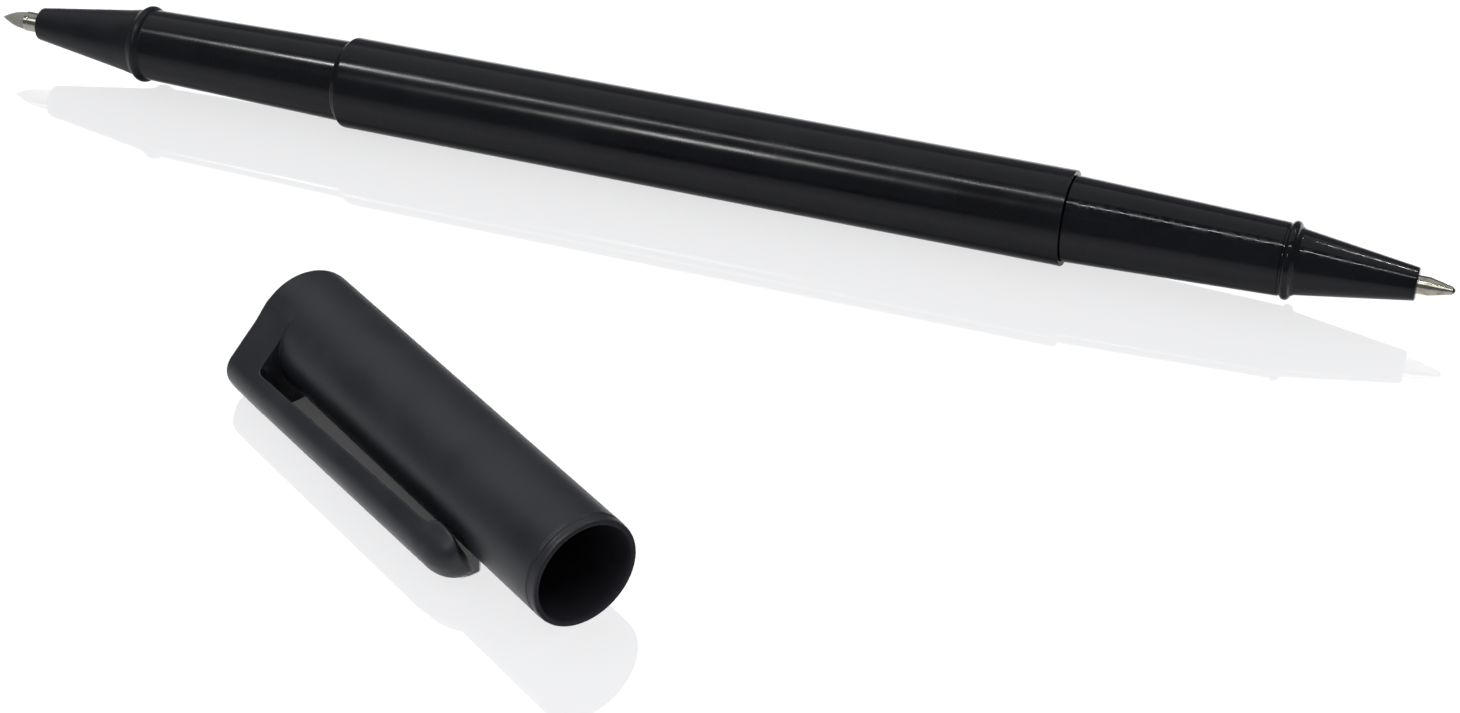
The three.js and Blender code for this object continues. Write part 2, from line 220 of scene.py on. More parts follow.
panel("strip_overhead", 75, 1.2, -0.03, 1.15, 0.030, 34.0, all_but_table)
panel("strip_end", 75, 1.2, -0.648, 0.10, 0.030, 200.0, all_but_table)
panel("panel_behind", 116, 1.5, -0.35, 3.0, 1.5, 0.50, all_but_table)
panel("small_window", 47, 1.0, -0.335, 0.075, 0.085, 52.0, all_but_table)
panel("strip_on_cone", 125, 1.2, 0.235, 0.08, 0.030, 75.0, all_but_table)
panel("metal_card", 54, 1.0, -0.05, 2.6, 0.40, 2.3, only_metal)
far_card = panel("far_card", 145, 2.0, -0.7, 6.0, 2.2, 1.25, only_table)
far_card.visible_diffuse = False

SUN_WIDTH = 5


def sun(name, azimuth, elevation, strength, blockers):
    """Even light from one direction, for the table only. It isn't mirrored anywhere."""
    light = bpy.data.lights.new(name, "SUN")
    light.energy = strength
    light.angle = math.radians(SUN_WIDTH)
    lamp = bpy.data.objects.new(name, light)
    bpy.context.scene.collection.objects.link(lamp)
    lamp.rotation_mode = "QUATERNION"
    lamp.rotation_quaternion = direction(azimuth, elevation).to_track_quat("Z", "Y")
    lamp.visible_glossy = False
    lamp.light_linking.receiver_collection = only_table
    lamp.light_linking.blocker_collection = blockers


casts_shadow = bpy.data.collections.new("casts_a_shadow_on_the_table")
casts_shadow.objects.link(table)
sun("even_sun", 6, 37.6, 5.0, casts_shadow)
sun("fill_sun", 5, 60, 0.22, only_table)
world = bpy.data.worlds.new("room")
bpy.context.scene.world = world
world.use_nodes = True
world.node_tree.nodes["Background"].inputs["Color"].default_value = (0.94, 0.96, 1.0, 1)
world.node_tree.nodes["Background"].inputs["Strength"].default_value = 0.20

# %% [markdown]
# ## Finishes
# The plastics are nearly black, so their look is all in how they shine. Polished steel moulds give
# the grips a mirror skin with slow waves in it, which break the bright line into short dashes. The
# sleeve is a little duller. The cap comes from a spark-eroded mould and has a fine dry grain. All
# patterns use Object coordinates, because each piece keeps its place in its mesh. The sizes in the
# helpers are millimetres on the object.


# %% Pattern helpers
def place_of(tree, stretch=(1, 1, 1)):
    """Object coordinates in millimetres, stretched where a pattern runs along the pen."""
    coordinates = add(tree, "ShaderNodeTexCoord").outputs["Object"]
    scale = [1 / MM / s for s in stretch]
    return add(tree, "ShaderNodeMapping", Vector=coordinates, Scale=scale).outputs["Vector"]


def cloudy(tree, where, size, detail=2.0):
    """Soft noise whose blotches are about size millimetres wide."""
    return add(tree, "ShaderNodeTexNoise", Vector=where, Scale=1 / size, Detail=detail).outputs["Fac"]


def spread(tree, value, low, high, start=0.3, stop=0.7):
    """Maps a noise value, which mostly lies between start and stop, onto low to high."""
    node = add(tree, "ShaderNodeMapRange", Value=value, From_Min=start, From_Max=stop,
               To_Min=low, To_Max=high)
    return node.outputs["Result"]


def sums(tree, first, second, operation="ADD"):
    """One step of arithmetic on two values."""
    return add(tree, "ShaderNodeMath", {"operation": operation}, i0=first, i1=second).outputs["Value"]


def relief(tree, shader, layers):
    """Bump from several height patterns, each with its depth in millimetres."""
    normal = None
    for height, depth in layers:
        bump = add(tree, "ShaderNodeBump", Height=height, Distance=depth * MM, Strength=1.0)
        if normal is not None:
            tree.links.new(normal, bump.inputs["Normal"])
        normal = bump.outputs["Normal"]
    tree.links.new(normal, shader.inputs["Normal"])


def blended(tree, share, first, second):
    """Mixes two colours by a share between 0 and 1."""
    node = add(tree, "ShaderNodeMix", {"data_type": "RGBA"}, i0=share)
    node.inputs[6].default_value = (*first, 1)
    node.inputs[7].default_value = (*second, 1)
    return node.outputs[2]


def hairlines(tree, stretch, size):
    """Thin wandering scratches: 1 in a scratch, 0 elsewhere."""
    where = place_of(tree, stretch)
    lines = add(tree, "ShaderNodeTexVoronoi", {"feature": "DISTANCE_TO_EDGE"},
                Vector=where, Scale=1 / size)
    return spread(tree, lines.outputs["Distance"], 1.0, 0.0, 0.0, 0.006)


# %% Black plastics
# How far below the axis the painted shade on the underside fades in, in millimetres.
SHADED_UNDERSIDE_DEPTH = 2.3


def black_plastic(name, colour, shine, wave, grain, specular, scratched=0.05, rubbed=0.0,
                  wavelength=1.6, shaded_underside_shine=0.06):
    """A moulded black. shine is (smoothest, dullest), wave and grain are depths in millimetres.
    Short rubbed patches are duller by rubbed, and break a bright line into dashes. Below the axis
    the shine fades to the share given last, a painted shade for the darker floor that the underside
    mirrors near its contact."""
    material, tree, shader = surface(name, IOR=1.5)
    where = place_of(tree)
    mottle = cloudy(tree, where, 6.0, 4.0)
    fine = cloudy(tree, where, 0.16, 3.0)
    slow = cloudy(tree, place_of(tree, (1.5, 1, 1)), wavelength, 1.0)
    darker = [c * 0.8 for c in colour]
    lighter = [c * 1.25 for c in colour]
    tree.links.new(blended(tree, spread(tree, mottle, 0, 1), darker, lighter), shader.inputs["Base Color"])
    scratches = sums(tree, hairlines(tree, (9, 1, 1), 5.0), hairlines(tree, (1, 3, 7), 6.0), "MAXIMUM")
    worn = sums(tree, scratches, scratched, "MULTIPLY")
    patches = spread(tree, cloudy(tree, place_of(tree, (1.4, 1, 1)), 0.55, 1.0), 0.0, rubbed, 0.47, 0.53)
    rough = sums(tree, sums(tree, spread(tree, mottle, shine[0], shine[1]), worn), patches)
    tree.links.new(rough, shader.inputs["Roughness"])
    # Painted shade: below the pen's axis the shine fades down, as if the underside mirrored a darker floor
    # near its contact.
    height = add(tree, "ShaderNodeSeparateXYZ", Vector=where).outputs["Z"]
    axis = AXIS_Z / MM
    shiny = spread(tree, height, shaded_underside_shine * specular, specular, axis - SHADED_UNDERSIDE_DEPTH, axis)
    tree.links.new(shiny, shader.inputs["Specular IOR Level"])
    relief(tree, shader, [(slow, wave), (fine, grain)])
    return material


GRIP_BLACK = black_plastic("polished_black_grip", (0.0064, 0.0068, 0.0096), (0.03, 0.06),
                           0.010, 0.0006, 0.24, 0.05, 0.12, 0.85)
SLEEVE_BLACK = black_plastic("polished_black_sleeve", (0.0064, 0.0068, 0.0092), (0.15, 0.22),
                             0.006, 0.0010, 0.24)
NOSE_BLACK = black_plastic("satin_black_nose", (0.0095, 0.0105, 0.0135), (0.32, 0.40),
                           0.006, 0.0040, 0.22)
CAP_BLACK = black_plastic("spark_grained_black_cap", (0.0195, 0.0210, 0.0262), (0.37, 0.45),
                          0.004, 0.0110, 0.42, 0.02, shaded_underside_shine=1.0)
# Painted shade for the inside of the cap's mouth and its lip: a dull, barely shiny black, so the mouth stays
# dark.
BORE_AND_LIP_PAINTED_SHADE = black_plastic("bore_and_lip_painted_shade", (0.030, 0.028, 0.036), (0.55, 0.65),
                           0.004, 0.0040, 0.06, 0.02, shaded_underside_shine=1.0)


# %% Metals
def turned_metal(name, colour, shine, groove):
    """Metal off a lathe: rings of fine grooves round the axis, and a little tarnish."""
    material, tree, shader = surface(name, Metallic=1.0)
    rings = cloudy(tree, place_of(tree, (1, 400, 400)), 0.05, 3.0)
    tarnish = cloudy(tree, place_of(tree), 0.9, 4.0)
    dull = [c * 0.45 for c in colour]
    tarnished = spread(tree, tarnish, 0, 1, 0.5, 0.8)
    tree.links.new(blended(tree, tarnished, colour, dull), shader.inputs["Base Color"])
    tree.links.new(spread(tree, rings, shine[0], shine[1]), shader.inputs["Roughness"])
    relief(tree, shader, [(rings, groove)])
    return material


NICKEL = turned_metal("turned_nickel_silver", (0.40, 0.375, 0.32), (0.08, 0.15), 0.001)
COLLAR_METAL = turned_metal("drawn_collar_metal", (0.36, 0.355, 0.31), (0.07, 0.13), 0.0006)
CARBIDE = turned_metal("inky_carbide_ball", (0.06, 0.06, 0.07), (0.10, 0.24), 0.001)


# %% Fibres, clear plastics and the other inner finishes
def fibrous(name, pale, deep, strand, depth):
    """Bundled fibres that run along the pen."""
    material, tree, shader = surface(name, Sheen_Weight=0.15)
    strands = cloudy(tree, place_of(tree, (40, 1, 1)), strand, 3.0)
    stain = cloudy(tree, place_of(tree), strand * 12, 3.0)
    share = sums(tree, spread(tree, strands, 0, 0.7), spread(tree, stain, 0, 0.3))
    tree.links.new(blended(tree, share, pale, deep), shader.inputs["Base Color"])
    tree.links.new(spread(tree, strands, 0.7, 0.95), shader.inputs["Roughness"])
    relief(tree, shader, [(strands, depth)])
    return material


def soft_plastic(name, colour, shine, transmission=0.0):
    """Plain or clear moulded plastic with faint flow marks."""
    material, tree, shader = surface(name, Transmission_Weight=transmission, IOR=1.49)
    flow = cloudy(tree, place_of(tree, (5, 1, 1)), 1.4, 3.0)
    skin = cloudy(tree, place_of(tree), 0.2, 2.0)
    dim = [c * 0.82 for c in colour]
    tree.links.new(blended(tree, spread(tree, flow, 0, 1), colour, dim), shader.inputs["Base Color"])
    tree.links.new(spread(tree, skin, shine[0], shine[1]), shader.inputs["Roughness"])
    relief(tree, shader, [(flow, 0.004), (skin, 0.002)])
    return material


NIB_FIBRE = fibrous("pressed_nib_fibre", (0.36, 0.355, 0.315), (0.22, 0.215, 0.19), 0.10, 0.02)
WOOL = fibrous("iodine_soaked_wool", (0.62, 0.38, 0.13), (0.30, 0.14, 0.035), 0.14, 0.05)
CLEAR = soft_plastic("clear_refill_plastic", (0.93, 0.95, 0.96), (0.05, 0.12), 0.9)
MILKY = soft_plastic("milky_moulded_plastic", (0.78, 0.78, 0.74), (0.3, 0.42))
INK_PASTE = soft_plastic("black_ink_paste", (0.006, 0.007, 0.016), (0.12, 0.2))
GREASE = soft_plastic("amber_grease", (0.62, 0.48, 0.22), (0.15, 0.25), 0.35)
SEAL_GREY = soft_plastic("soft_grey_seal", (0.20, 0.21, 0.23), (0.5, 0.62))
print("finishes:", len(bpy.data.materials))

# %% [markdown]
# ## A lathe in Geometry Nodes
# A lathe is the natural rule for a pen: draw half of its outline once, and turn it round the axis.
# The tree takes the outline's points, lays a grid with one row for each point, and bends every row
# into a ring. Welding closes the seam and gathers the points on the axis. Each corner of an outline
# gets a small arc, since no moulded or turned edge is perfectly sharp, and the light catches there.


# %% The turning tree
def turning_tree():
    tree = bpy.data.node_groups.new("turning", "GeometryNodeTree")
    sockets = tree.interface
    sockets.new_socket("Outline", in_out="INPUT", socket_type="NodeSocketGeometry")
    sockets.new_socket("Segments", in_out="INPUT", socket_type="NodeSocketInt")
    sockets.new_socket("Axis", in_out="INPUT", socket_type="NodeSocketVector")
    sockets.new_socket("Weld", in_out="INPUT", socket_type="NodeSocketFloat")
    sockets.new_socket("Finish", in_out="INPUT", socket_type="NodeSocketMaterial")
    sockets.new_socket("Turned", in_out="OUTPUT", socket_type="NodeSocketGeometry")
    given = add(tree, "NodeGroupInput").outputs
    size = add(tree, "GeometryNodeAttributeDomainSize", Geometry=given["Outline"])
    points = size.outputs["Point Count"]
    columns = sums(tree, given["Segments"], 1.0)
    grid = add(tree, "GeometryNodeMeshGrid", Vertices_X=points, Vertices_Y=columns).outputs["Mesh"]
    index = add(tree, "GeometryNodeInputIndex").outputs["Index"]
    row = sums(tree, index, columns, "DIVIDE")
    row = add(tree, "ShaderNodeMath", {"operation": "FLOOR"}, i0=row).outputs["Value"]
    column = sums(tree, index, columns, "MODULO")
    share = sums(tree, column, given["Segments"], "DIVIDE")
    angle = sums(tree, share, math.tau, "MULTIPLY")
    sample = add(tree, "GeometryNodeSampleIndex", {"data_type": "FLOAT_VECTOR", "domain": "POINT"},
                 Geometry=given["Outline"], Index=row)
    tree.links.new(add(tree, "GeometryNodeInputPosition").outputs["Position"], sample.inputs["Value"])
    point = add(tree, "ShaderNodeSeparateXYZ", Vector=sample.outputs["Value"]).outputs
    across = add(tree, "ShaderNodeMath", {"operation": "COSINE"}, i0=angle).outputs["Value"]
    up = add(tree, "ShaderNodeMath", {"operation": "SINE"}, i0=angle).outputs["Value"]
    y = sums(tree, across, point["Y"], "MULTIPLY")
    z = sums(tree, up, point["Y"], "MULTIPLY")
    ring = add(tree, "ShaderNodeCombineXYZ", X=point["X"], Y=y, Z=z).outputs["Vector"]
    placed = add(tree, "ShaderNodeVectorMath", {"operation": "ADD"}, i0=ring, i1=given["Axis"])
    shape = add(tree, "GeometryNodeSetPosition", Geometry=grid, Position=placed.outputs["Vector"])
    for kind, inputs in (
        ("GeometryNodeMergeByDistance", {"Distance": given["Weld"]}),
        ("GeometryNodeSetShadeSmooth", {}),
        ("GeometryNodeRealizeInstances", {}),
        ("GeometryNodeSetMaterial", {"Material": given["Finish"]}),
    ):
        shape = add(tree, kind, Geometry=shape.outputs["Geometry"], **inputs)
    output = add(tree, "NodeGroupOutput")
    tree.links.new(shape.outputs["Geometry"], output.inputs["Turned"])
    return tree


TURNING = turning_tree()
SOCKET_ID = {item.name: item.identifier for item in TURNING.interface.items_tree if item.in_out == "INPUT"}
print("turning tree inputs:", list(SOCKET_ID))


# %% Outline helpers
def arc(station, radius, size, start, stop, steps=8, stretch=1.0):
    """Points of an arc, from one angle to another in degrees."""
    angles = np.radians(np.linspace(start, stop, steps + 1))
    return [(station + stretch * size * math.cos(a), radius + size * math.sin(a)) for a in angles]


def eased(points, steps=4, most=0.42):
    """Rounds each corner that carries a third number, its fillet radius."""
    result = []
    for i, corner in enumerate(points):
        here = np.array(corner[:2], float)
        if len(corner) < 3 or i in (0, len(points) - 1):
            result.append(here)
            continue
        before = np.array(points[i - 1][:2], float) - here
        after = np.array(points[i + 1][:2], float) - here
        length_before, length_after = np.linalg.norm(before), np.linalg.norm(after)
        before, after = before / length_before, after / length_after
        half = math.acos(max(-1.0, min(1.0, float(before @ after)))) / 2
        pull = min(corner[2] / math.tan(half), most * length_before, most * length_after)
        radius = pull * math.tan(half)
        centre = here + (before + after) / np.linalg.norm(before + after) * radius / math.sin(half)
        first, last = here + before * pull, here + after * pull
        hold = 0.18 * pull
        result.append(first + before * hold)
        turn_from = math.atan2(*(first - centre)[::-1])
        turn_by = (math.atan2(*(last - centre)[::-1]) - turn_from + math.pi) % math.tau - math.pi
        for k in range(steps + 1):
            angle = turn_from + turn_by * k / steps
            result.append(centre + radius * np.array((math.cos(angle), math.sin(angle))))
        result.append(last + after * hold)
    return [tuple(p) for p in result]


WELD = 0.0015 * MM


def turn(name, outline, finish, end=BALLPOINT_END, facing=1, segments=128):
    """Turns an outline of (station, radius) in millimetres. Stations run outward from end."""
    points = [(end + facing * station * MM, radius * MM) for station, radius in outline]
    closed_on_axis = points[0][1] == 0 and points[-1][1] == 0
    if not closed_on_axis:
        points.append(points[0])
    area = sum(a[0] * b[1] - b[0] * a[1] for a, b in zip(points, points[1:] + points[:1]))
    if area < 0:
        points.reverse()
    mesh = bpy.data.meshes.new(name)
    mesh.from_pydata([(x, radius, 0) for x, radius in points], [], [])
    piece = bpy.data.objects.new(name, mesh)
    bpy.context.scene.collection.objects.link(piece)
    modifier = piece.modifiers.new("turning", "NODES")
    modifier.node_group = TURNING
    modifier[SOCKET_ID["Segments"]] = segments
    modifier[SOCKET_ID["Axis"]] = (0.0, AXIS_Y, AXIS_Z)
    modifier[SOCKET_ID["Weld"]] = WELD
    modifier[SOCKET_ID["Finish"]] = finish
    evaluated = piece.evaluated_get(bpy.context.evaluated_depsgraph_get())
    made = bpy.data.meshes.new_from_object(evaluated)
    piece.modifiers.remove(modifier)
    piece.data = made
    made.name = name
    bpy.data.meshes.remove(mesh)
    print(f"{name}: {len(made.vertices)} points, {len(made.polygons)} faces")
    return piece


def fit(piece, body, slot, *nodes):
    """Hands a finished piece to its body and hides the CAD nodes it stands for. The slot is not used."""
    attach(piece, body)
    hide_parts(*nodes)
    return piece


# %% [markdown]
# ## Barrel and detector grip
# The sleeve and the grip behind the detector nose come out of the mould as one piece. A rounded
# shoulder leads from the thin grip up to the sleeve. The far end of the sleeve is a plain socket
# with a crisp edge. Two finishes share the piece, because the sleeve was left a little duller.

# %% Barrel
DETECTOR_GRIP = {"length": 25.6, "rear": 4.66, "front": 4.14}
SHOULDER = SLEEVE_RADIUS - DETECTOR_GRIP["rear"]
WET_BORE = 3.3
MIDDLE_BORE = 3.9
SOCKET = {"radius": 4.2, "depth": 12}
sleeve = SLEEVE_LENGTH / MM
barrel_outline = eased([
    (0, SOCKET["radius"] + 0.3),
    (0, SLEEVE_RADIUS, 0.09),
    (-sleeve + 0.5, SLEEVE_RADIUS),
    *arc(-sleeve + SHOULDER * 0.4, SLEEVE_RADIUS - SHOULDER, SHOULDER, 90, 168, 8, 0.9),
    (-sleeve - 0.62, DETECTOR_GRIP["rear"] - 0.01, 0.1),
    (-sleeve - 1.3, DETECTOR_GRIP["rear"] - 0.02),
    (-sleeve - DETECTOR_GRIP["length"], DETECTOR_GRIP["front"], 0.03),
    (-sleeve - DETECTOR_GRIP["length"], WET_BORE, 0.1),
    (-sleeve, WET_BORE, 0.1),
    (-sleeve + 2, MIDDLE_BORE, 0.1),
    (-SOCKET["depth"], MIDDLE_BORE, 0.1),
    (-SOCKET["depth"], SOCKET["radius"], 0.1),
    (0, SOCKET["radius"], 0.15),
    (0, SOCKET["radius"] + 0.3),
], steps=5)
barrel = turn("barrel", barrel_outline, SLEEVE_BLACK, segments=160)
barrel.data.materials.append(GRIP_BLACK)
for face in barrel.data.polygons:
    if face.center.x < DETECTOR_END - 0.4 * MM:
        face.material_index = 1
fit(barrel, "pen", "gloss_black", "barrel")

# %% [markdown]
# ## Detector nose, collar and nib
# The nose is a satin cone that plugs into the grip, with a rounded bead as its stop. A short metal
# collar holds a rod of pressed fibre, cut to a bullet point. The rod's tail stands in the wool of
# the reservoir and draws the iodine fluid forward, as a wick does.

# %% Detector nose
DETECTOR = {"end": DETECTOR_END, "facing": -1}
BEAD = {"at": 26.4, "radius": 4.5, "half": 0.62}
CONE = {"from": 29.2, "to": 40.8, "rear": 3.58, "front": 1.88}
COLLAR = {"radius": 1.16, "from": 37.5, "to": 42.8}
NOSE_SPIGOT = 7
NOSE_CHAMBER = {"rear": 2.4, "front": 2.2, "to": 33, "throat": 35}
FIT = 0.06
FACE_GAP = 0.03
grip = DETECTOR_GRIP["length"]
nose_outline = eased([
    (grip - NOSE_SPIGOT, WET_BORE - 0.35),
    (grip - NOSE_SPIGOT, WET_BORE - FIT, 0.3),
    (grip + FACE_GAP, WET_BORE - FIT, 0.03),
    (grip + FACE_GAP, DETECTOR_GRIP["front"] - 0.06, 0.02),
    *arc(BEAD["at"], BEAD["radius"] - BEAD["half"], BEAD["half"], 158, 22, 12),
    (BEAD["at"] + 1.05, CONE["rear"] + 0.34, 0.5),
    (CONE["from"], CONE["rear"], 1.2),
    (CONE["to"] - 0.12, CONE["front"] + 0.03, 0.2),
    (CONE["to"], CONE["front"] - 0.16, 0.08),
    (CONE["to"], COLLAR["radius"] + FIT, 0.06),
    (NOSE_CHAMBER["throat"], COLLAR["radius"] + FIT, 0.1),
    (NOSE_CHAMBER["to"], NOSE_CHAMBER["front"], 0.2),
    (grip - NOSE_SPIGOT, NOSE_CHAMBER["rear"], 0.1),
    (grip - NOSE_SPIGOT, WET_BORE - 0.35),
])
fit(turn("detector_nose", nose_outline, NOSE_BLACK, **DETECTOR), "pen", "satin_black", "detector_nose")

# %% Collar and fibre nib
NIB = {"radius": 1.02, "tip": 46.1, "tail": 14}
collar_outline = eased([
    (COLLAR["from"], NIB["radius"] + 0.07),
    (COLLAR["from"], COLLAR["radius"], 0.03),
    (COLLAR["to"] - 0.62, COLLAR["radius"]),
    *arc(COLLAR["to"] - 0.5, COLLAR["radius"], 0.035, 180, 360, 6),
    (COLLAR["to"] - 0.36, COLLAR["radius"]),
    (COLLAR["to"], COLLAR["radius"] - 0.02, 0.05),
    (COLLAR["to"], NIB["radius"] + 0.02, 0.02),
    (COLLAR["from"], NIB["radius"] + 0.02, 0.02),
    (COLLAR["from"], NIB["radius"] + 0.07),
])
collar = turn("nib_collar", collar_outline, COLLAR_METAL, segments=96, **DETECTOR)
fit(collar, "pen", "nickel_silver", "nib_collar")


def bullet(share):
    """A point of the nib's parabola, from the collar (0) to the tip (1)."""
    return COLLAR["to"] + share * (NIB["tip"] - COLLAR["to"]), NIB["radius"] * (1 - share ** 2)


nib_outline = [
    (NIB["tail"], 0),
    *arc(NIB["tail"] + 0.1, NIB["radius"] - 0.1, 0.1, 180, 90, 4),
    (COLLAR["to"] - 0.3, NIB["radius"]),
    *[bullet(share) for share in np.linspace(0, 0.94, 24)],
    *[(bullet(0.94)[0] + dx, bullet(0.94)[1] * r) for dx, r in ((0.06, 0.78), (0.11, 0.52), (0.14, 0.27))],
    (bullet(0.94)[0] + 0.15, 0),
]
nib = turn("detector_nib", nib_outline, NIB_FIBRE, segments=96, **DETECTOR)
fit(nib, "pen", "fibre", "detector_nib")

# %% Reservoir, film and dividing plug
RESERVOIR = {"radius": 3.0, "from": -36.5, "to": 18.3, "film": 0.14}
wool_outline = eased([
    (RESERVOIR["from"], 0),
    (RESERVOIR["from"], RESERVOIR["radius"], 0.25),
    (RESERVOIR["to"], RESERVOIR["radius"], 0.25),
    (RESERVOIR["to"], NIB["radius"] + 0.04, 0.15),
    (NIB["tail"] - 0.12, NIB["radius"] + 0.04, 0.1),
    (NIB["tail"] - 0.12, 0),
])
fit(turn("ink_reservoir", wool_outline, WOOL, segments=96, **DETECTOR), "pen", "iodine_wool", "ink_reservoir")

film_inner = RESERVOIR["radius"] + 0.03
film_outer = film_inner + RESERVOIR["film"]
film_outline = eased([
    (RESERVOIR["from"], film_inner + 0.07),
    (RESERVOIR["from"], film_outer, 0.03),
    (RESERVOIR["to"], film_outer, 0.03),
    (RESERVOIR["to"], film_inner, 0.03),
    (RESERVOIR["from"], film_inner, 0.03),
    (RESERVOIR["from"], film_inner + 0.07),
])
film = turn("reservoir_film", film_outline, CLEAR, segments=96, **DETECTOR)
fit(film, "pen", "clear_film", "reservoir_film")

plug_low, plug_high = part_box("dividing_plug")
plug_from = (plug_low.x - BALLPOINT_END) / MM
plug_to = (plug_high.x - BALLPOINT_END) / MM
plug_outer = MIDDLE_BORE - FIT
plug_outline = eased([
    (plug_from, 0),
    (plug_from, plug_outer - 0.3, 0.2),
    (plug_from + 0.5, plug_outer, 0.2),
    (plug_to, plug_outer, 0.15),
    (plug_to, plug_outer - 1, 0.15),
    (plug_from + 2, plug_outer - 1, 0.4),
    (plug_from + 2, 0),
])
fit(turn("dividing_plug", plug_outline, MILKY, segments=96), "pen", "milky_plastic", "dividing_plug")

# %% [markdown]
# ## Ballpoint end
# The section is a taper with a spigot that pushes into the sleeve, and the sharp dark seam shows
# where the two meet. Its cone has a smaller, sharper bead. A turned metal point sticks out of the
# cone, and a ball turns in its lip. Pull the section and the whole refill comes with it.

# %% Ballpoint section and nose
GRIP = {"length": 23.2, "rear": 4.74, "front": 3.97}
SEAM = 0.05
SPIGOT = {"length": 11, "radius": SOCKET["radius"] - FIT}
SECTION_BORE = 3.05
section_outline = eased([
    (-SPIGOT["length"], SECTION_BORE + 0.4),
    (-SPIGOT["length"], SPIGOT["radius"] - 0.3, 0.15),
    (-SPIGOT["length"] + 0.6, SPIGOT["radius"], 0.3),
    (SEAM, SPIGOT["radius"], 0.03),
    (SEAM, GRIP["rear"] - 0.005, 0.08),
    (GRIP["length"], GRIP["front"], 0.03),
    (GRIP["length"], SECTION_BORE, 0.1),
    (-SPIGOT["length"], SECTION_BORE, 0.1),
    (-SPIGOT["length"], SECTION_BORE + 0.4),
])
section = turn("ballpoint_section", section_outline, GRIP_BLACK, segments=160)
fit(section, "ballpoint_unit", "gloss_black", "ballpoint_section")

SMALL_BEAD = {"at": 23.97, "radius": 4.25, "half": 0.55}
SMALL_CONE = {"from": 24.95, "to": 37.2, "rear": 3.55, "front": 1.76}
SMALL_CHAMBER = {"to": 32, "throat": 33.2}
SMALL_SPIGOT = 6
POINT = {"tail": 28, "step": 33.4, "stem": 0.8, "shank": 0.99, "taper": 38.4}
REFILL = {"radius": 1.55, "bore": 1.05, "from": -39.5, "to": 25.9}
small_nose_outline = eased([
    (GRIP["length"] - SMALL_SPIGOT, SECTION_BORE - 0.4),
    (GRIP["length"] - SMALL_SPIGOT, SECTION_BORE - FIT, 0.25),
    (GRIP["length"] + FACE_GAP, SECTION_BORE - FIT, 0.03),
    (GRIP["length"] + FACE_GAP, GRIP["front"] - 0.05, 0.02),
    *arc(SMALL_BEAD["at"], SMALL_BEAD["radius"] - SMALL_BEAD["half"], SMALL_BEAD["half"], 160, 8, 12),
    (SMALL_CONE["from"], SMALL_CONE["rear"], 0.35),
    (SMALL_CONE["to"] - 0.1, SMALL_CONE["front"] + 0.02, 0.2),
    (SMALL_CONE["to"], SMALL_CONE["front"] - 0.12, 0.07),
    (SMALL_CONE["to"], POINT["shank"] + FIT, 0.05),
    (SMALL_CHAMBER["throat"], POINT["shank"] + FIT, 0.1),
    (SMALL_CHAMBER["to"], REFILL["radius"] + 0.2, 0.2),
    (GRIP["length"] - SMALL_SPIGOT, REFILL["radius"] + 0.2, 0.1),
    (GRIP["length"] - SMALL_SPIGOT, SECTION_BORE - 0.4),
])
small_nose = turn("ballpoint_nose", small_nose_outline, GRIP_BLACK)
fit(small_nose, "ballpoint_unit", "gloss_black", "ballpoint_nose")

# %% Metal point and its ball
BALL = {"radius": 0.35, "at": 40.72}
CUP = {"radius": 0.39, "lip": 0.1, "depth": 0.5, "feed": 0.2}
lip = BALL["at"] + CUP["lip"]
point_outline = eased([
    (POINT["tail"], 0.5),
    (POINT["tail"], POINT["stem"], 0.08),
    (POINT["step"], POINT["stem"], 0.04),
    (POINT["step"], POINT["shank"], 0.08),
    (POINT["taper"], POINT["shank"], 0.12),
    (lip - 0.3, CUP["radius"] + 0.1, 0.4),
    (lip, CUP["radius"] + 0.03, 0.03),
    (lip, CUP["radius"] - 0.02, 0.02),
    (BALL["at"], CUP["radius"]),
    (BALL["at"] - CUP["depth"], CUP["radius"], 0.1),
    (BALL["at"] - CUP["depth"], CUP["feed"], 0.05),
    (POINT["tail"], CUP["feed"], 0.05),
    (POINT["tail"], 0.5),
])
point = turn("ballpoint_tip", point_outline, NICKEL, segments=96)
fit(point, "ballpoint_unit", "nickel_silver", "ballpoint_tip")

ball_outline = arc(BALL["at"], 0, BALL["radius"], 180, 0, 32)
ball_outline[0] = (BALL["at"] - BALL["radius"], 0)
ball_outline[-1] = (BALL["at"] + BALL["radius"], 0)
fit(turn("writing_ball", ball_outline, CARBIDE, segments=64), "ball", "carbide_ball", "writing_ball")

# %% Refill: holder, tube, ink, grease and stopper
BORE_FIT = REFILL["bore"] - 0.04
HOLDER = {"from": 22, "flange": 26.05, "seat": 27.88, "to": 31.5, "radius": 1.5, "bore": 0.84, "feed": 0.35}
holder_outline = eased([
    (HOLDER["from"], 0.6),
    (HOLDER["from"], BORE_FIT, 0.15),
    (HOLDER["flange"], BORE_FIT, 0.03),
    (HOLDER["flange"], HOLDER["radius"], 0.12),
    (HOLDER["to"], HOLDER["radius"] - 0.05, 0.2),
    (HOLDER["to"], HOLDER["bore"], 0.08),
    (HOLDER["seat"], HOLDER["bore"], 0.05),
    (HOLDER["seat"], HOLDER["feed"], 0.05),
    (HOLDER["from"], HOLDER["feed"], 0.05),
    (HOLDER["from"], 0.6),
])
holder = turn("tip_holder", holder_outline, MILKY, segments=64)
fit(holder, "ballpoint_unit", "milky_plastic", "tip_holder")

